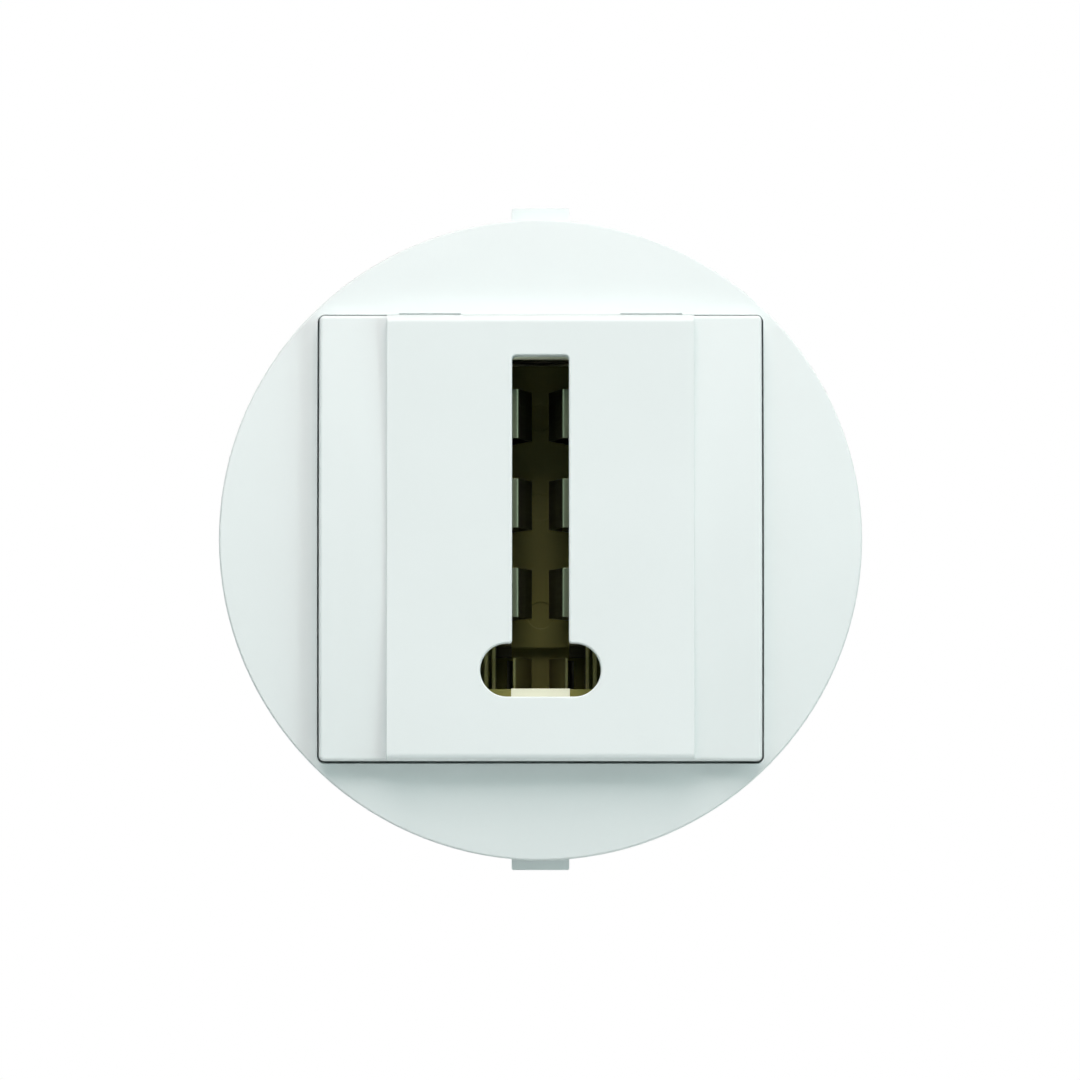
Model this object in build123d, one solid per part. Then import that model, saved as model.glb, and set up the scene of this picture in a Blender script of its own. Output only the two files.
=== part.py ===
from build123d import *
import math
import os

# Telephone socket: a square module with a T-shaped plug slot, set into a round cover disc.
# Millimetres. X runs right as seen from the front, Z runs up and Y runs into the wall.
# The origin is on the disc's centre line, in the plane of its rear rim, which seats on the wall frame.

# Module face
module_width = 45.0
module_height = 45.3
module_corner = 0.5
module_depth = 6.2  # from the skirt's rear edge to the flat block
block_width = 31.2
block_step = 0.35  # block above the shoulders, at mid height
crown_radius = 263.0  # arch of the shoulders and of the disc, about X
block_edge_round = 0.8
shoulder_edge_round = 0.4
face_wall = 2.5
skirt_wall = 1.8

# Plug slot
slot_width = 5.78
slot_top_margin = 4.14  # from the module's top edge
slot_corner = 0.45
slot_edge_bevel = 0.12
foot_width = 12.26
foot_height = 5.42
foot_bottom_margin = 6.5  # from the module's bottom edge
foot_junction = 0.3

# Cover disc
corner_land = 0.79  # disc left outside the recess corners
disc_rise = 6.2  # crown above the seat, at mid height
disc_wall = 2.0
rim_wall = 1.6
rim_bevel = 0.15
module_gap = 0.25
shelf_rise = 2.8  # shelf face above the seat
shelf_wall = 1.8
shelf_width = 2.2
recess_wall = 1.2
pry_notch_width = 6.3
pry_notch_height = 0.15
pry_notch_depth = 0.5
pry_notch_offset = 11.3
lug_width = 5.9
top_lug_reach = 1.4
bottom_lug_reach = 1.0
lug_depth = 1.6
lug_corner = 0.2
clip_leg_width = 6.0
clip_leg_wall = 1.2
clip_leg_reach = 6.5
clip_leg_hook = 0.8
clip_leg_spread = 18.0
clip_leg_inset = 1.7  # from the recess wall
stiffener_wall = 1.0
stiffener_offset = 9.0

# Module latches, which hook behind the disc's shelf
latch_width = 5.0
latch_wall = 1.2
latch_offset = 14.0
latch_hook = 0.6
latch_nose = 2.3
latch_play = 0.1
nub_reach = 0.4  # snap noses that hold the body in the cover
nub_length = 8.0
nub_depth = 1.0

# Socket body
fit_play = 0.2
flange_wall = 2.0
chamber_depth = 15.7
chamber_play = 0.1  # chamber wider than the slot, each side
top_ledge = 0.18
bottom_ledge = 0.86
ledge_wall = 1.7
head_room = 0.6  # chamber above the slot's top, behind the ledge
lobe_front = 3.7  # depth of the lobes' sills behind the body's front
lobe_depth = 13.0
lobe_rib_wall = 0.4
lobe_rib_step = 0.8
lobe_rib_rise = 3.5
pocket_depth = 1.6
pocket_play = 0.25
pocket_front = 1.8
plain_pocket_front = 4.9  # of the last row's pockets, behind the lobes' sills
outer_wall = 1.2
case_wall = 1.2
hook_leg_wall = 1.2
hook_leg_width = 8.0
hook_reach = 0.5
hook_depth = 1.6

# Contacts
contact_thickness = 0.25
contact_height = 5.0
contact_gap = 1.66  # between facing contacts
nose_overlap = 0.2  # outer leg beyond the chamber's wall, in its pocket
nose_setback = 1.4  # nose behind the pocket's front wall
nose_fold = 0.76  # between the two legs of the folded nose
nose_round = 0.2
tip_length = 2.5
plain_gap = 5.4  # between the plain tips of the last row
plain_depth = 5.6
crease_gap = 3.34  # between facing contacts, where they turn in
crease_depth = 6.6
crease_round = 0.6
apex_depth = 9.3
apex_round = 1.0
heel_setback = 1.4
heel_round = 1.0
tail_inset = 0.3
tail_round = 0.7
tail_play = 0.1
first_row_drop = 5.58  # from the slot's top to the first row
last_row_lift = 1.59  # from the foot's bottom to the last row
row_count = 4

# Terminal block
block_plate = 2.5
foot_recess = 1.2  # floor of the foot behind the chamber's floor
block_side_play = 0.5
block_end_play = 0.3
partition_wall = 1.0
partition_rise = 3.6
spine_wall = 1.4
wire_notch = 2.6
wire_notch_sill = 0.8
mark_radius = 1.4
mark_depth = 0.15
mark_drops = (-0.3, -0.15, 1.95)  # ejector marks below their rows

# Terminals
screw_offset = 13.5
tail_overhang = 3.5
screw_core_radius = 1.24
screw_length = 3.2
screw_head_radius = 2.3
screw_head_height = 1.8
screw_slot_width = 0.7
screw_slot_depth = 0.9
screw_slot_angle = 35.0
thread_play = 0.01
washer_size = 5.2
washer_wall = 0.8
washer_corner = 0.6
washer_play = 0.3

# Depths along Y
seat = 0.0
shelf_front = seat - shelf_rise
shelf_back = shelf_front + shelf_wall
disc_front = seat - disc_rise
face = shelf_front - module_depth
shoulder = face + block_step
body_front = face + face_wall
flange_back = body_front + flange_wall
chamber_floor = body_front + chamber_depth
block_back = chamber_floor + block_plate
pocket_start = body_front + pocket_front
plain_pocket_start = body_front + plain_pocket_front
washer_front = block_back + contact_thickness
head_front = washer_front + washer_wall

# Heights along Z
slot_top = module_height / 2 - slot_top_margin
foot_bottom = foot_bottom_margin - module_height / 2
foot_middle = foot_bottom + foot_height / 2
foot_top = foot_bottom + foot_height
first_row = slot_top - first_row_drop
last_row = foot_bottom + last_row_lift
row_pitch = (first_row - last_row) / (row_count - 1)
rows = [first_row - row_pitch * k for k in range(row_count)]
foot_end = last_row - contact_height / 2 - pocket_play  # lower end of the chamber behind its lip

# Outlines in X and Z
recess_width = module_width + 2 * module_gap
recess_height = module_height + 2 * module_gap
recess_corner = module_corner + module_gap
corner_reach = math.hypot(recess_width / 2 - recess_corner, recess_height / 2 - recess_corner)
disc_radius = corner_reach + recess_corner + corner_land
well_width = recess_width - 2 * shelf_width
well_height = recess_height - 2 * shelf_width
cavity_width = module_width - 2 * skirt_wall
cavity_height = module_height - 2 * skirt_wall
flange_width = cavity_width - 2 * fit_play
flange_height = cavity_height - 2 * fit_play
chamber_half = slot_width / 2 + chamber_play
pocket_half = chamber_half + pocket_depth
lobe_half = foot_width / 2 + chamber_play
plate_half_width = well_width / 2 - block_side_play
plate_half_height = well_height / 2 - hook_leg_wall - 2 * block_end_play - fit_play
hook_inner = plate_half_height + block_end_play
hook_outer = hook_inner + hook_leg_wall
latch_outer = well_height / 2 - latch_play
tail_line = chamber_half - tail_inset
screw_clearance_radius = screw_core_radius + washer_play
reach = 4 * disc_radius  # longer than any piece
clear_front = face - module_depth  # in front of every piece


def prism(outline, front, back):
    """A solid with an outline drawn in X and Z, from the depth front to the depth back."""
    plane = Plane(origin=(0, back, 0), x_dir=(1, 0, 0), z_dir=(0, -1, 0))
    return extrude(plane * outline, amount=back - front)


def patch(x_low, x_high, z_low, z_high):
    """A rectangle given by its four edges."""
    middle = Pos((x_low + x_high) / 2, (z_low + z_high) / 2)
    return middle * Rectangle(x_high - x_low, z_high - z_low)


def band(half_width, half_height):
    """A rectangle about the centre line."""
    return patch(-half_width, half_width, -half_height, half_height)


def arched(front, radius):
    """A large round bar along X, whose foremost line lies at the depth front."""
    return Pos(0, front + radius, 0) * Rot(0, 90, 0) * Cylinder(radius, reach)


def both_sides(solid):
    """A solid and its mirror image left to right."""
    return solid + mirror(solid, about=Plane.YZ)


def both_ends(solid):
    """A solid and its mirror image top to bottom."""
    return solid + mirror(solid, about=Plane.XY)


def bar_along_x(points, x_low, x_high):
    """A bar with a section given by points in Y and Z."""
    section = make_face(Plane.YZ * Polyline(*points, close=True))
    return Pos(x_low, 0, 0) * extrude(section, amount=x_high - x_low, dir=(1, 0, 0))


def bar_along_z(points, z_low, z_high):
    """A bar with a section given by points in X and Y."""
    section = make_face(Polyline(*points, close=True))
    return Pos(0, 0, z_low) * extrude(section, amount=z_high - z_low, dir=(0, 0, 1))


def slot_outline():
    """The T-shaped plug opening."""
    stem = patch(-slot_width / 2, slot_width / 2, foot_middle, slot_top)
    outline = stem + Pos(0, foot_middle) * SlotOverall(foot_width, foot_height)
    outline = fillet(outline.vertices().group_by(Axis.Y)[-1], slot_corner)
    crossings = [Vector(x, foot_top) for x in (-slot_width / 2, slot_width / 2)]
    inner_corners = [min(outline.vertices(), key=lambda v: (Vector(v) - c).length) for c in crossings]
    return fillet(inner_corners, foot_junction)


def cover_disc():
    """The round cover, with its recess, shelf, lugs and rear clip legs."""
    full = prism(Circle(disc_radius), clear_front, seat) & arched(disc_front, crown_radius)
    full = chamfer(full.faces().sort_by(Axis.Y)[0].edges(), rim_bevel)
    hollow = prism(Circle(disc_radius - rim_wall), clear_front, seat)
    hollow &= arched(disc_front + disc_wall, crown_radius - disc_wall)
    disc = full - (hollow - disc_webs()) + disc_legs() + disc_lugs()
    recess = RectangleRounded(recess_width, recess_height, recess_corner)
    disc -= prism(recess, clear_front, shelf_front)
    disc -= prism(band(well_width / 2, well_height / 2), shelf_front, shelf_back)
    return disc - pry_notches()


def pry_notches():
    """Shallow finger notches at the recess's top edge."""
    inner = pry_notch_offset - pry_notch_width / 2
    notch = patch(inner, inner + pry_notch_width, 0, recess_height / 2 + pry_notch_height)
    crown_drop = crown_radius - math.sqrt(crown_radius**2 - (recess_height / 2) ** 2)
    return both_sides(prism(notch, clear_front, disc_front + crown_drop + pry_notch_depth))


def disc_webs():
    """The recess walls behind the disc, and the stiffening webs between them and the rim."""
    webs = band(recess_width / 2 + recess_wall, recess_height / 2 + recess_wall)
    webs += patch(-reach, reach, -stiffener_wall / 2, stiffener_wall / 2)
    for x in (-stiffener_offset, stiffener_offset):
        webs += patch(x - stiffener_wall / 2, x + stiffener_wall / 2, -reach, reach)
    return prism(webs, clear_front, shelf_back)


def disc_legs():
    """Hooked legs behind the disc, which snap into the wall frame."""
    root = recess_width / 2 + recess_wall + clip_leg_inset
    back = root + clip_leg_wall
    points = [
        (root, disc_front + disc_wall / 2),
        (back, disc_front + disc_wall / 2),
        (back, clip_leg_reach - 3 * clip_leg_hook),
        (back + clip_leg_hook, clip_leg_reach - 2 * clip_leg_hook),
        (back, clip_leg_reach),
        (root, clip_leg_reach),
    ]
    low = clip_leg_spread / 2 - clip_leg_width / 2
    return both_ends(both_sides(bar_along_z(points, low, low + clip_leg_width)))


def disc_lugs():
    """Catches that stand out of the rim at the top and the bottom."""
    return lug(top_lug_reach) + mirror(lug(bottom_lug_reach), about=Plane.XY)


def lug(lug_reach):
    """One catch at the top, standing out of the rim by the given reach."""
    half = lug_width / 2
    outline = patch(-half, half, disc_radius - rim_wall, disc_radius + lug_reach)
    solid = prism(outline, seat - lug_depth, seat)
    return fillet(solid.edges().filter_by(Axis.Y).group_by(Axis.Z)[-1], lug_corner)


def front_cover():
    """The module's face and skirt, with the T slot and the latches."""
    outline = RectangleRounded(module_width, module_height, module_corner)
    shoulders = prism(outline, face, shelf_front) & arched(shoulder, crown_radius)
    shoulders = fillet(shoulders.faces().sort_by(Axis.Y)[0].edges(), shoulder_edge_round)
    block = prism(band(block_width / 2, module_height / 2), face, shelf_front)
    front_edges = block.faces().sort_by(Axis.Y)[0].edges()
    block = fillet(front_edges.filter_by(Axis.X), block_edge_round)
    cover = shoulders + block
    cover -= prism(band(cavity_width / 2, cavity_height / 2), body_front, shelf_front)
    cover -= prism(slot_outline(), face, body_front)
    cover = chamfer(cover.faces().sort_by(Axis.Y)[0].inner_wires()[0].edges(), slot_edge_bevel)
    return cover + module_latches() + body_nubs()


def module_latches():
    """Hooks that reach through the disc's well and catch behind its shelf."""
    catch = shelf_back + latch_play
    inner = latch_outer - latch_wall
    points = [
        (body_front, inner),
        (body_front, cavity_height / 2),
        (shelf_front, cavity_height / 2),
        (shelf_front, latch_outer),
        (catch, latch_outer),
        (catch, latch_outer + latch_hook),
        (catch + latch_nose, latch_outer),
        (catch + latch_nose, inner),
    ]
    low = latch_offset - latch_width / 2
    return both_ends(both_sides(bar_along_x(points, low, low + latch_width)))


def body_nubs():
    """Snap noses on the skirt, behind the body's flange."""
    wall = cavity_width / 2
    points = [
        (wall, flange_back),
        (wall - fit_play - nub_reach, flange_back),
        (wall, flange_back + nub_depth),
    ]
    return both_sides(bar_along_z(points, -nub_length / 2, nub_length / 2))


def chamber():
    """The space for the plug: the slot's stem, its foot with two lobes, and the pockets of the contacts."""
    sill = foot_bottom + bottom_ledge
    lip_back = body_front + ledge_wall
    stem = patch(-chamber_half, chamber_half, foot_middle, slot_top - top_ledge)
    space = prism(stem, body_front, chamber_floor)
    space += prism(patch(-chamber_half, chamber_half, foot_middle, slot_top + head_room), lip_back, chamber_floor)
    mouth = Pos(0, foot_middle) * SlotOverall(2 * lobe_half, foot_height + 2 * chamber_play)
    mouth -= patch(-chamber_half, chamber_half, foot_bottom - chamber_play, sill)
    space += prism(mouth, body_front, body_front + lobe_front)
    lobes = patch(-lobe_half, lobe_half, sill, foot_top)
    space += prism(lobes, body_front + lobe_front, body_front + lobe_depth)
    space += prism(patch(-chamber_half, chamber_half, foot_end, foot_top), lip_back, chamber_floor)
    for row in rows:
        half = contact_height / 2 + pocket_play
        start = plain_pocket_start if row == rows[-1] else pocket_start
        space += prism(patch(-pocket_half, pocket_half, row - half, row + half), start, chamber_floor)
    return space - lobe_ribs(sill)


def lobe_ribs(sill):
    """Upright ribs on the floor of each lobe."""
    floor = body_front + lobe_depth
    ribs = []
    for k in range(2):
        low = pocket_half + k * lobe_rib_step
        ribs.append(prism(patch(low, low + lobe_rib_wall, sill, foot_top), floor - lobe_rib_rise, floor))
    return both_sides(ribs[0] + ribs[1])


def socket_body():
    """The chamber and its case, the flange that seats in the cover and the hooks for the terminal block."""
    shell = prism(band(pocket_half + outer_wall, hook_outer), body_front, chamber_floor)
    foot_shell = patch(-lobe_half - outer_wall, lobe_half + outer_wall, -hook_outer, foot_top + outer_wall)
    shell += prism(foot_shell, body_front, chamber_floor)
    flange = prism(band(flange_width / 2, flange_height / 2), body_front, flange_back)
    flange -= latch_notches()
    case = band(plate_half_width, plate_half_height)
    case -= band(plate_half_width - case_wall, plate_half_height - case_wall)
    body = shell + flange + prism(case, flange_back, chamber_floor) + block_hooks()
    return body - chamber()


def latch_notches():
    """Gaps in the flange for the cover's latches."""
    low = latch_offset - latch_width / 2 - fit_play
    high = latch_offset + latch_width / 2 + fit_play
    inner = latch_outer - latch_wall - fit_play
    return both_ends(both_sides(prism(patch(low, high, inner, flange_height), body_front, flange_back)))


def block_hooks():
    """Legs at the top and the bottom that hook behind the terminal block."""
    points = [
        (chamber_floor, hook_inner),
        (block_back, hook_inner),
        (block_back, plate_half_height - hook_reach),
        (block_back + hook_depth, hook_inner),
        (block_back + hook_depth, hook_outer),
        (chamber_floor, hook_outer),
    ]
    return both_ends(bar_along_x(points, -hook_leg_width / 2, hook_leg_width / 2))


def terminal_block():
    """The plate that closes the chamber, with a bay and a screw hole for each terminal."""
    block = prism(band(plate_half_width, plate_half_height), chamber_floor, block_back)
    rise = block_back + partition_rise
    fence = band(plate_half_width, plate_half_height)
    fence -= band(plate_half_width - partition_wall, plate_half_height - partition_wall)
    fence += band(spine_wall / 2, plate_half_height)
    for row in rows[:-1]:
        low = row - row_pitch / 2 - partition_wall / 2
        fence += patch(-plate_half_width, plate_half_width, low, low + partition_wall)
    fence -= band(hook_leg_width / 2 + fit_play, reach) - band(reach, plate_half_height - 2 * partition_wall)
    block += prism(fence, block_back, rise)
    tail_inner = tail_line - contact_thickness / 2
    tail_outer = tail_line + tail_round + tail_play
    tail_gap = patch(tail_inner, tail_outer, -contact_height / 2, contact_height / 2)
    foot_floor = patch(-chamber_half, chamber_half, foot_end, foot_top)
    block -= prism(foot_floor, chamber_floor, chamber_floor + foot_recess)
    notch = patch(plate_half_width - 2 * partition_wall, reach, -wire_notch / 2, wire_notch / 2)
    screw_hole = Pos(screw_offset, 0) * Circle(screw_core_radius + thread_play)
    for row in rows:
        place = Pos(0, 0, row)
        block -= place * both_sides(prism(tail_gap, chamber_floor, block_back))
        block -= place * both_sides(prism(notch, washer_front + wire_notch_sill, rise))
        block -= place * both_sides(prism(screw_hole, chamber_floor, block_back))
    for row, drop in zip(rows, mark_drops):
        mark = Pos(0, row - drop) * Circle(mark_radius)
        block -= prism(mark, chamber_floor, chamber_floor + mark_depth)
    return block


def hooked_nose():
    """Points and bends of a nose folded back into its pocket, and of the leg that turns in from it."""
    half = contact_thickness / 2
    nose = pocket_start + nose_setback + half
    outer_leg = chamber_half + nose_overlap - half
    points = [
        (outer_leg, nose + tip_length),
        (outer_leg, nose),
        (outer_leg - nose_fold, nose),
        (crease_gap / 2, body_front + crease_depth),
    ]
    return points, [nose_round, nose_round, crease_round]


def plain_nose():
    """The cut end of a contact of the last row, which stands clear of the plug's foot."""
    return [(plain_gap / 2, body_front + plain_depth)], []


def contact(nose_points, nose_bends):
    """A bent spring strip on the right, from its nose to its terminal plate."""
    half = contact_thickness / 2
    plate = block_back + half
    points = nose_points + [
        (contact_gap / 2 + half, body_front + apex_depth),
        (tail_line, chamber_floor - heel_setback),
        (tail_line, plate),
        (screw_offset + tail_overhang, plate),
    ]
    bends = nose_bends + [apex_round, heel_round, tail_round]
    strip = trace(FilletPolyline(*points, radius=bends), line_width=contact_thickness)
    strip = Pos(0, 0, -contact_height / 2) * extrude(strip, amount=contact_height, dir=(0, 0, 1))
    hole = Pos(screw_offset, 0) * Circle(screw_clearance_radius)
    return strip - prism(hole, block_back, washer_front)


def terminal_screw():
    """A slotted screw on the right, its head to the rear."""
    axis = Pos(screw_offset, 0)
    shank = prism(axis * Circle(screw_core_radius), head_front - screw_length, head_front)
    head = prism(axis * Circle(screw_head_radius), head_front, head_front + screw_head_height)
    groove = axis * Rectangle(screw_slot_width, 3 * screw_head_radius, rotation=screw_slot_angle)
    top = head_front + screw_head_height
    return shank + head - prism(groove, top - screw_slot_depth, top)


def clamp_washer():
    """A square wire clamp on the right."""
    outline = Rectangle(washer_size, washer_size)
    outline = chamfer(outline.vertices(), washer_corner) - Circle(screw_clearance_radius)
    return prism(Pos(screw_offset, 0) * outline, washer_front, head_front)


def at_each_terminal(solid):
    """A copy of a solid at each row, on the right and on the left."""
    left = mirror(solid, about=Plane.YZ)
    return Compound(children=[Pos(0, 0, row) * side for row in rows for side in (solid, left)])


def main():
    os.makedirs("parts", exist_ok=True)
    nodes = {
        "cover_disc": cover_disc(),
        "front_cover": front_cover(),
        "socket_body": socket_body(),
        "terminal_block": terminal_block(),
        "terminal_screws": at_each_terminal(terminal_screw()),
        "clamp_washers": at_each_terminal(clamp_washer()),
    }
    hooked = contact(*hooked_nose())
    plain = contact(*plain_nose())
    for k, row in enumerate(rows):
        right = plain if k == row_count - 1 else hooked
        nodes[f"contact_{2 * k + 1}"] = Pos(0, 0, row) * mirror(right, about=Plane.YZ)
        nodes[f"contact_{2 * k + 2}"] = Pos(0, 0, row) * right
    for name, solid in nodes.items():
        export_step(solid, f"parts/{name}.step")


main()
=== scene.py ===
import bpy
import math
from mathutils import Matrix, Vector


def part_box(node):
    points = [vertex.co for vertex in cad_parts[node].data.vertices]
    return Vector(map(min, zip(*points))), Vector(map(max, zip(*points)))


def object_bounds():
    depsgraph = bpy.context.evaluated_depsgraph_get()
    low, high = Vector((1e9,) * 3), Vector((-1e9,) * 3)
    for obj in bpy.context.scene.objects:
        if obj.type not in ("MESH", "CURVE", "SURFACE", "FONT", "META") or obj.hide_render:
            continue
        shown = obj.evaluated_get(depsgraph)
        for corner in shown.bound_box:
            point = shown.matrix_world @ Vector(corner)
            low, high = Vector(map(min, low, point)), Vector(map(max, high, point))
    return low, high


# Looks of a telephone socket: white moulded covers, an ivory body, plated contacts and terminals.
# Metres, in the part's own frame: X right, Y into the wall, Z up.

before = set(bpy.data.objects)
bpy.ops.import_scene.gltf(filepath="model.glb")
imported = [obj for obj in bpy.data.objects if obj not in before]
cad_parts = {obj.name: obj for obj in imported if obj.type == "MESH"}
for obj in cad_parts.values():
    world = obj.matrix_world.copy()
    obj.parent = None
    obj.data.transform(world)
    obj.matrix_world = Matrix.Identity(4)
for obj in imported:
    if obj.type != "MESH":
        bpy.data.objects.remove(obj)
cad_low, cad_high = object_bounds()

MM = 0.001
OPAQUE = 1.0  # fourth channel of a colour

# Camera, set by the photograph's view
VIEW_DISTANCE = 650 * MM
VIEW_ELEVATION = math.radians(-2.5)
FRAME_WIDTH = 109.5 * MM  # at the module's face
SENSOR = 36.0  # in millimetres, as is the lens
AIM_RIGHT = -0.05 * MM  # of the module's middle
AIM_UP = -0.28 * MM
CLIP_START = 10 * MM

# Floor
FLOOR_DROP = 300 * MM  # below the part
FLOOR_RADIUS = 0.45
FLOOR_FADE = 0.20  # where it starts to fade into the white surround
FLOOR_SIDES = 96
FLOOR_COLOUR = (0.80, 0.82, 0.82)
FLOOR_ROUGHNESS = 0.9

# Surround: a white backdrop behind the part, and a dim studio in front of it
STUDIO_COLOUR = (0.82, 1.0, 0.88)
STUDIO_LEVEL = 0.02
STUDIO_MIRRORED = 0.05  # as metal mirrors it
BACKDROP_COLOUR = (1.0, 1.0, 1.0)
BACKDROP_START = 0.05  # along Y, of a direction of length one
BACKDROP_FULL = 0.5
BACKDROP_LIGHT = 0.25  # share of its white that lights the part
BACKDROP_BAND = 0.05  # along Z, up or down, where its mirrored white starts to dim
BACKDROP_EDGE = 0.65
BACKDROP_DIM = 0.30  # share of its mirrored white that is left there

# Lamps: direction from the module, distance, size, power in watts and colour
LAMPS = {
    "key": ((0.95, -1.0, 0.56), 1.2, 0.22, 1.0, (1.0, 1.0, 1.0)),
    "high": ((0.0, -0.75, 1.0), 1.0, 0.8, 10.4, (1.0, 0.915, 0.91)),
    "left": ((-1.0, -0.7, 0.25), 1.0, 0.8, 2.75, (0.82, 1.0, 0.99)),
    "right": ((1.0, -0.7, 0.1), 1.0, 0.8, 4.5, (0.83, 1.0, 0.97)),
    "rear": ((0.5, 1.0, 0.9), 1.0, 0.8, 4.8, (1.0, 1.0, 1.0)),
}

# All materials: the values that noise mostly lies between, and the care taken over rounded edges
NOISE_LOW = 0.3
NOISE_HIGH = 0.7
EDGE_SAMPLES = 6

# Plastics: faint clouds of tone and gloss, and a fine grain
CLOUDS_PER_METRE = 90.0
CLOUD_DETAIL = 3.0
CLOUD_DARK = 0.985  # shares of the colour
CLOUD_PALE = 1.01
GRAIN_DETAIL = 2.0
PLASTIC_ROUGHNESS_PLAY = 0.04
PLASTIC_EDGE = 0.12 * MM  # radius
PLASTIC_IOR = 1.5
WHITE = (0.81, 0.865, 0.862)
IVORY = (0.70, 0.705, 0.555)

# Metals: fine rolling lines, and streaks of tone along them
LINES_PER_METRE = 4000.0
LINE_DETAIL = 3.0
STREAK_DETAIL = 4.0
METAL_ROUGHNESS_PLAY = 0.03
METAL_EDGE = 0.06 * MM  # radius
NICKEL = (0.57, 0.565, 0.52)
ZINC = (0.56, 0.56, 0.555)
STEEL = (0.42, 0.42, 0.415)

# Boxes in the part's own space, each a middle and a half size, that hold painted light and shade: tones
# that stand in for the dim light inside the plug chamber
# The plug chamber in the body: its stem, its foot and the sills of the foot
STEM = ((0.0, 3.1 * MM, 0.45 * MM), (4.65 * MM, 7.9 * MM, 19.2 * MM))
FOOT = ((0.0, 4.0 * MM, -14.0 * MM), (6.85 * MM, 7.0 * MM, 4.8 * MM))
SILLS = ((0.0, -2.5 * MM, -15.95 * MM), (6.85 * MM, 0.6 * MM, 0.9 * MM))
# The terminal block's part of the chamber, inside the block's own ends
CHAMBER_FLOOR = ((0.0, 4.0 * MM, 0.725 * MM), (6.85 * MM, 7.0 * MM, 17.925 * MM))
# The contacts' ends in the chamber, as far back as the gaps in the terminal block
NOSES = ((0.0, 3.0 * MM, 0.0), (12.0 * MM, 8.0 * MM, 25.0 * MM))
# Their inner slopes in the upper three rows, from the fold inwards
SLOPES = ((0.0, 3.0 * MM, 5.0 * MM), (2.26 * MM, 8.0 * MM, 15.0 * MM))

# Painted light and shade in these boxes; where boxes overlap, the later one holds
PAINTED_OLIVE_SHADE = (0.37, 0.36, 0.10)
# Painted light on the foot's walls, a brighter, yellower ivory for light bounced inside it; painted shade
# in the stem, near black, and on the sills, dark olive
BODY_PAINTED_LIGHT_AND_SHADE = (
    (FOOT, (0.80, 0.78, 0.45)),
    (STEM, (0.10, 0.09, 0.045)),
    (SILLS, PAINTED_OLIVE_SHADE),
)
# Painted shade on the terminal block's floor inside the chamber, dark olive
BLOCK_PAINTED_SHADE = ((CHAMBER_FLOOR, PAINTED_OLIVE_SHADE),)
# Painted reflection and shade on the contacts: darker, greener ends, still darker inner slopes, and olive
# ends in the foot
STRIP_PAINTED_REFLECTION_AND_SHADE = (
    (NOSES, (0.38, 0.45, 0.315)),
    (SLOPES, (0.22, 0.235, 0.17)),
    (FOOT, (0.46, 0.445, 0.26)),
)


def add_node(tree, kind, **properties):
    """A node with the given properties."""
    node = tree.nodes.new(kind)
    for name, value in properties.items():
        setattr(node, name, value)
    return node


def feed(tree, value, socket):
    """Gives a socket a plain number, vector or colour, or links it to another node's output."""
    if isinstance(value, bpy.types.NodeSocket):
        tree.links.new(value, socket)
    elif socket.type == "RGBA":
        socket.default_value = (*value, OPAQUE)
    else:
        socket.default_value = value


def number_step(tree, operation, *numbers):
    """One step of arithmetic with numbers."""
    node = add_node(tree, "ShaderNodeMath", operation=operation)
    for number, socket in zip(numbers, node.inputs):
        feed(tree, number, socket)
    return node.outputs["Value"]


def vector_step(tree, operation, *vectors):
    """One step of arithmetic with vectors."""
    node = add_node(tree, "ShaderNodeVectorMath", operation=operation)
    for vector, socket in zip(vectors, node.inputs):
        feed(tree, vector, socket)
    return node.outputs["Value" if operation == "LENGTH" else "Vector"]


def split_vector(tree, vector):
    """The X, Y and Z of a vector."""
    node = add_node(tree, "ShaderNodeSeparateXYZ")
    tree.links.new(vector, node.inputs["Vector"])
    return [node.outputs[axis] for axis in "XYZ"]


def remap(tree, value, source, target, interpolation="LINEAR"):
    """A number, moved from one range to another and held at its ends."""
    node = add_node(tree, "ShaderNodeMapRange", interpolation_type=interpolation)
    feed(tree, value, node.inputs["Value"])
    for name, limit in zip(("From Min", "From Max", "To Min", "To Max"), (*source, *target)):
        feed(tree, limit, node.inputs[name])
    return node.outputs["Result"]


def blend(tree, factor, first, second):
    """A colour between two."""
    node = add_node(tree, "ShaderNodeMix", data_type="RGBA")
    colour_sockets = [socket for socket in node.inputs if socket.type == "RGBA"]
    for colour, socket in zip((first, second), colour_sockets):
        feed(tree, colour, socket)
    tree.links.new(factor, node.inputs["Factor"])
    return next(socket for socket in node.outputs if socket.type == "RGBA")


def blend_shaders(tree, factor, first, second):
    """A shader between two."""
    node = add_node(tree, "ShaderNodeMixShader")
    for source, socket in zip((factor, first, second), node.inputs):
        tree.links.new(source, socket)
    return node.outputs["Shader"]


def own_place(tree):
    """The place in the piece's own coordinates."""
    return add_node(tree, "ShaderNodeTexCoord").outputs["Object"]


def noise(tree, scale, detail, stretch=(1.0, 1.0, 1.0)):
    """Noise over the part's own coordinates, scale given in grains to the metre."""
    mapping = add_node(tree, "ShaderNodeMapping")
    mapping.inputs["Scale"].default_value = stretch
    tree.links.new(own_place(tree), mapping.inputs["Vector"])
    texture = add_node(tree, "ShaderNodeTexNoise")
    texture.inputs["Scale"].default_value = scale
    texture.inputs["Detail"].default_value = detail
    tree.links.new(mapping.outputs["Vector"], texture.inputs["Vector"])
    return texture.outputs["Fac"]


def spread(tree, factor, low, high):
    """Noise, stretched to run from low to high."""
    return remap(tree, factor, (NOISE_LOW, NOISE_HIGH), (low, high))


def relief(tree, height, depth, edge_radius):
    """A fine relief on top of slightly rounded edges."""
    edges = add_node(tree, "ShaderNodeBevel", samples=EDGE_SAMPLES)
    edges.inputs["Radius"].default_value = edge_radius
    bump = add_node(tree, "ShaderNodeBump")
    bump.inputs["Strength"].default_value = 1.0
    bump.inputs["Distance"].default_value = depth
    tree.links.new(height, bump.inputs["Height"])
    tree.links.new(edges.outputs["Normal"], bump.inputs["Normal"])
    return bump.outputs["Normal"]


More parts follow.
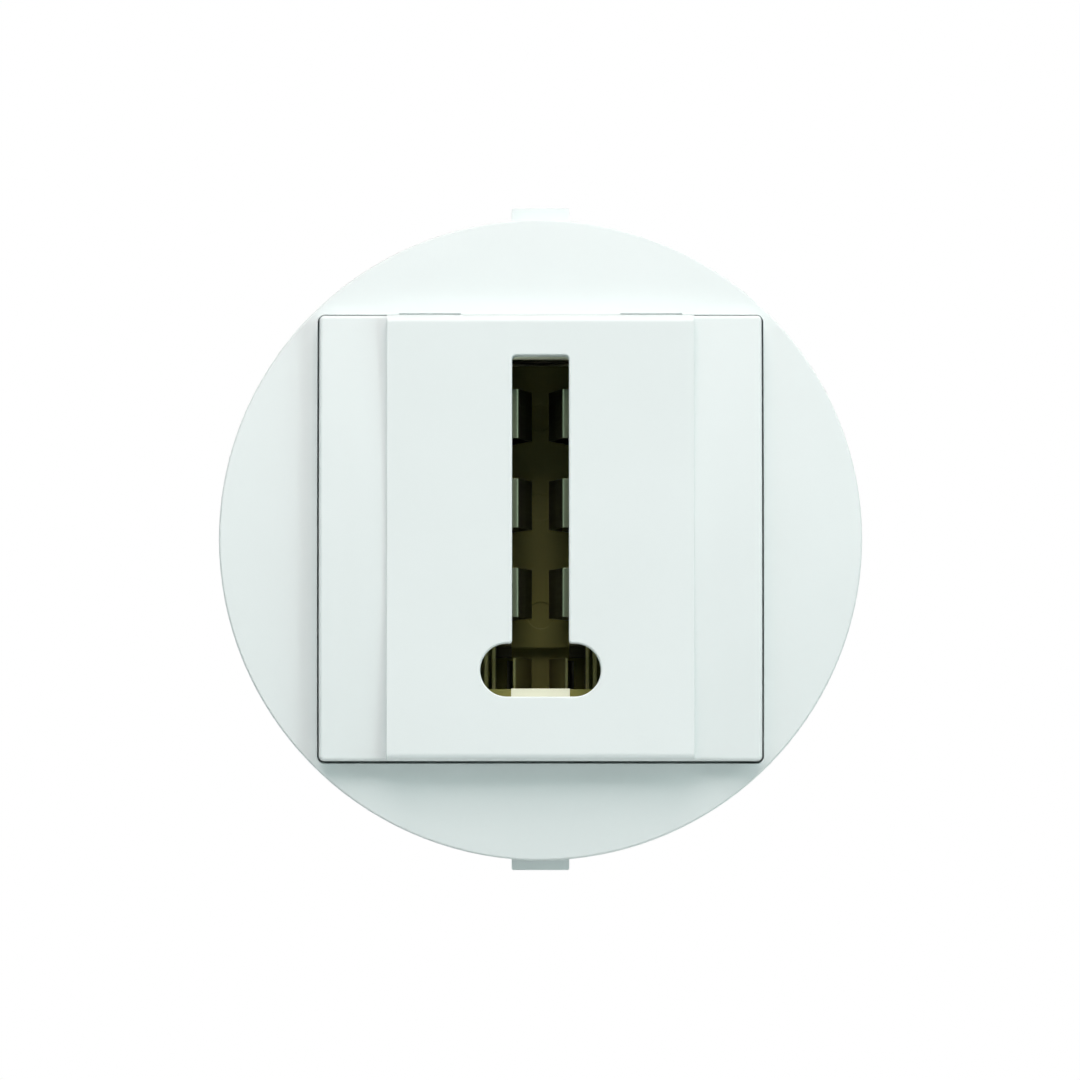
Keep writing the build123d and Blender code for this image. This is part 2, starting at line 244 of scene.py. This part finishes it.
def within(tree, middle, half):
    """One inside a box of the part's own space, nothing outside it."""
    offset = vector_step(tree, "SUBTRACT", own_place(tree), middle)
    share = vector_step(tree, "DIVIDE", vector_step(tree, "ABSOLUTE", offset), half)
    across, deep, up = split_vector(tree, share)
    widest = number_step(tree, "MAXIMUM", number_step(tree, "MAXIMUM", across, deep), up)
    return number_step(tree, "LESS_THAN", widest, 1.0)


def shade(colour, share):
    """A colour, darkened or lightened by a share."""
    return tuple(channel * share for channel in colour)


def new_material(name):
    """A material, its node tree and its main shader."""
    material = bpy.data.materials.new(name)
    material.use_nodes = True
    tree = material.node_tree
    return material, tree, tree.nodes["Principled BSDF"]


def moulded_plastic(name, colour, roughness, grain, depth):
    """Satin plastic with a fine eroded grain and a faint unevenness of tone."""
    material, tree, shader = new_material(name)
    clouds = noise(tree, CLOUDS_PER_METRE, CLOUD_DETAIL)
    tone = blend(tree, clouds, shade(colour, CLOUD_DARK), shade(colour, CLOUD_PALE))
    gloss = spread(tree, clouds, roughness - PLASTIC_ROUGHNESS_PLAY, roughness + PLASTIC_ROUGHNESS_PLAY)
    grains = noise(tree, 1.0 / grain, GRAIN_DETAIL)
    tree.links.new(tone, shader.inputs["Base Color"])
    tree.links.new(gloss, shader.inputs["Roughness"])
    tree.links.new(relief(tree, grains, depth, PLASTIC_EDGE), shader.inputs["Normal"])
    shader.inputs["IOR"].default_value = PLASTIC_IOR
    return material


def rolled_metal(name, colour, roughness, unevenness, pitch, stretch, depth):
    """Plated metal with fine rolling lines, and soft streaks of tone along them."""
    material, tree, shader = new_material(name)
    lines = noise(tree, LINES_PER_METRE, LINE_DETAIL, stretch)
    streaks = spread(tree, noise(tree, 1.0 / pitch, STREAK_DETAIL, stretch), 0.0, 1.0)
    tone = blend(tree, streaks, shade(colour, 1.0 - 2 * unevenness), shade(colour, 1.0 + unevenness))
    gloss = spread(tree, lines, roughness - METAL_ROUGHNESS_PLAY, roughness + METAL_ROUGHNESS_PLAY)
    tree.links.new(tone, shader.inputs["Base Color"])
    tree.links.new(gloss, shader.inputs["Roughness"])
    tree.links.new(relief(tree, lines, depth, METAL_EDGE), shader.inputs["Normal"])
    shader.inputs["Metallic"].default_value = 1.0
    return material


def tint(material, tones):
    """Paints other tones into a material, in boxes of the part's own space: here painted light and shade.
    """
    tree = material.node_tree
    target = tree.nodes["Principled BSDF"].inputs["Base Color"]
    tone = target.links[0].from_socket
    for (middle, half), colour in tones:
        tone = blend(tree, within(tree, middle, half), tone, colour)
    tree.links.new(tone, target)


def white_plastic():
    """The covers' cool white, with a fine satin."""
    return moulded_plastic("white_plastic", WHITE, roughness=0.42, grain=0.16 * MM, depth=0.004 * MM)


def ivory_plastic(name, tones):
    """The body's and the terminal block's ivory, with painted light and shade in the chamber's boxes."""
    material = moulded_plastic(name, IVORY, roughness=0.40, grain=0.22 * MM, depth=0.003 * MM)
    tint(material, tones)
    return material


def plated_strip():
    """The contacts' nickel, rolled lengthwise, with painted reflection and shade in the chamber."""
    along = (0.05, 0.05, 1.0)
    material = rolled_metal(
        "plated_strip",
        NICKEL,
        roughness=0.38,
        unevenness=0.09,
        pitch=1.4 * MM,
        stretch=along,
        depth=0.0001 * MM,
    )
    tint(material, STRIP_PAINTED_REFLECTION_AND_SHADE)
    return material


def zinc_plating():
    """The screws' zinc, an even fine grain."""
    even = (1.0, 1.0, 1.0)
    return rolled_metal(
        "zinc_plating",
        ZINC,
        roughness=0.35,
        unevenness=0.05,
        pitch=0.5 * MM,
        stretch=even,
        depth=0.001 * MM,
    )


def washer_steel():
    """The clamps' steel, rolled along X."""
    along = (0.06, 1.0, 1.0)
    return rolled_metal(
        "washer_steel",
        STEEL,
        roughness=0.36,
        unevenness=0.10,
        pitch=0.6 * MM,
        stretch=along,
        depth=0.001 * MM,
    )


def dress(name, material):
    """Gives a node its material."""
    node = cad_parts[name]
    node.data.materials.clear()
    node.data.materials.append(material)


def dress_all():
    """Materials of every node."""
    covers = white_plastic()
    dress("cover_disc", covers)
    dress("front_cover", covers)
    dress("socket_body", ivory_plastic("body_plastic", BODY_PAINTED_LIGHT_AND_SHADE))
    dress("terminal_block", ivory_plastic("block_plastic", BLOCK_PAINTED_SHADE))
    dress("terminal_screws", zinc_plating())
    dress("clamp_washers", washer_steel())
    strip = plated_strip()
    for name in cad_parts:
        if name.startswith("contact_"):
            dress(name, strip)


def floor_material():
    """Pale and matt, fading into the white surround, and clear to the eye from underneath."""
    material, tree, shader = new_material("floor")
    feed(tree, FLOOR_COLOUR, shader.inputs["Base Color"])
    feed(tree, FLOOR_ROUGHNESS, shader.inputs["Roughness"])
    to_eye = add_node(tree, "ShaderNodeLightPath").outputs["Is Camera Ray"]
    from_middle = vector_step(tree, "LENGTH", own_place(tree))
    fade = remap(tree, from_middle, (FLOOR_FADE, FLOOR_RADIUS), (0.0, 1.0), "SMOOTHSTEP")
    white = add_node(tree, "ShaderNodeEmission").outputs["Emission"]
    top = blend_shaders(tree, number_step(tree, "MULTIPLY", fade, to_eye), shader.outputs["BSDF"], white)
    underneath = add_node(tree, "ShaderNodeNewGeometry").outputs["Backfacing"]
    clear = add_node(tree, "ShaderNodeBsdfTransparent").outputs["BSDF"]
    surface = blend_shaders(tree, number_step(tree, "MULTIPLY", underneath, to_eye), top, clear)
    tree.links.new(surface, tree.nodes["Material Output"].inputs["Surface"])
    return material


def make_floor():
    """A round floor well below the part."""
    place = (0.0, 0.0, cad_low.z - FLOOR_DROP)
    bpy.ops.mesh.primitive_circle_add(
        vertices=FLOOR_SIDES, radius=FLOOR_RADIUS, fill_type="NGON", location=place
    )
    floor = bpy.context.object
    floor.name = "floor"
    floor.data.materials.append(floor_material())


def background(tree, colour, strength):
    """A surround of one colour."""
    node = add_node(tree, "ShaderNodeBackground")
    feed(tree, colour, node.inputs["Color"])
    feed(tree, strength, node.inputs["Strength"])
    return node.outputs["Background"]


def make_world():
    """White behind the part, and white to the eye all round; a dim studio in front."""
    world = bpy.data.worlds.new("studio")
    bpy.context.scene.world = world
    world.use_nodes = True
    tree = world.node_tree
    tree.nodes.clear()
    rays = add_node(tree, "ShaderNodeLightPath").outputs
    mirrored = number_step(tree, "MAXIMUM", rays["Is Glossy Ray"], rays["Is Transmission Ray"])
    direction = add_node(tree, "ShaderNodeTexCoord").outputs["Generated"]
    deep, up = split_vector(tree, direction)[1:]
    behind = remap(tree, deep, (BACKDROP_START, BACKDROP_FULL), (0.0, 1.0), "SMOOTHSTEP")
    height = number_step(tree, "ABSOLUTE", up)
    band = remap(tree, height, (BACKDROP_BAND, BACKDROP_EDGE), (1.0, BACKDROP_DIM), "SMOOTHSTEP")
    share = remap(tree, mirrored, (0.0, 1.0), (BACKDROP_LIGHT, band))
    shown = number_step(tree, "MULTIPLY", behind, share)
    seen = number_step(tree, "MAXIMUM", rays["Is Camera Ray"], shown)
    level = remap(tree, mirrored, (0.0, 1.0), (STUDIO_LEVEL, STUDIO_MIRRORED))
    studio = background(tree, STUDIO_COLOUR, level)
    backdrop = background(tree, BACKDROP_COLOUR, 1.0)
    output = add_node(tree, "ShaderNodeOutputWorld")
    tree.links.new(blend_shaders(tree, seen, studio, backdrop), output.inputs["Surface"])


def make_lamp(name, target, direction, distance, size, power, colour):
    """A square soft box that faces the part."""
    lamp = bpy.data.lights.new(name, "AREA")
    lamp.shape = "SQUARE"
    lamp.size = size
    lamp.energy = power
    lamp.color = colour
    holder = bpy.data.objects.new(name, lamp)
    towards = Vector(direction).normalized()
    holder.location = target + towards * distance
    holder.rotation_euler = (-towards).to_track_quat("-Z", "Y").to_euler()
    bpy.context.scene.collection.objects.link(holder)


def make_camera(target):
    """The photograph's view: from in front, a little below the middle."""
    camera = bpy.data.cameras.new("camera")
    camera.sensor_width = SENSOR
    camera.lens = SENSOR * VIEW_DISTANCE / FRAME_WIDTH
    camera.clip_start = CLIP_START
    holder = bpy.data.objects.new("camera", camera)
    back = Vector((0.0, -math.cos(VIEW_ELEVATION), math.sin(VIEW_ELEVATION)))
    aim = target + Vector((AIM_RIGHT, 0.0, AIM_UP))
    holder.location = aim + back * VIEW_DISTANCE
    holder.rotation_euler = (-back).to_track_quat("-Z", "Y").to_euler()
    bpy.context.scene.collection.objects.link(holder)
    bpy.context.scene.camera = holder


module_low, module_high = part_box("front_cover")
face_middle = Vector(((module_low.x + module_high.x) / 2, module_low.y, (module_low.z + module_high.z) / 2))

dress_all()
make_floor()
make_world()
for lamp_name, lamp_values in LAMPS.items():
    make_lamp(lamp_name, face_middle, *lamp_values)
make_camera(face_middle)
bpy.context.scene.view_settings.view_transform = "Standard"
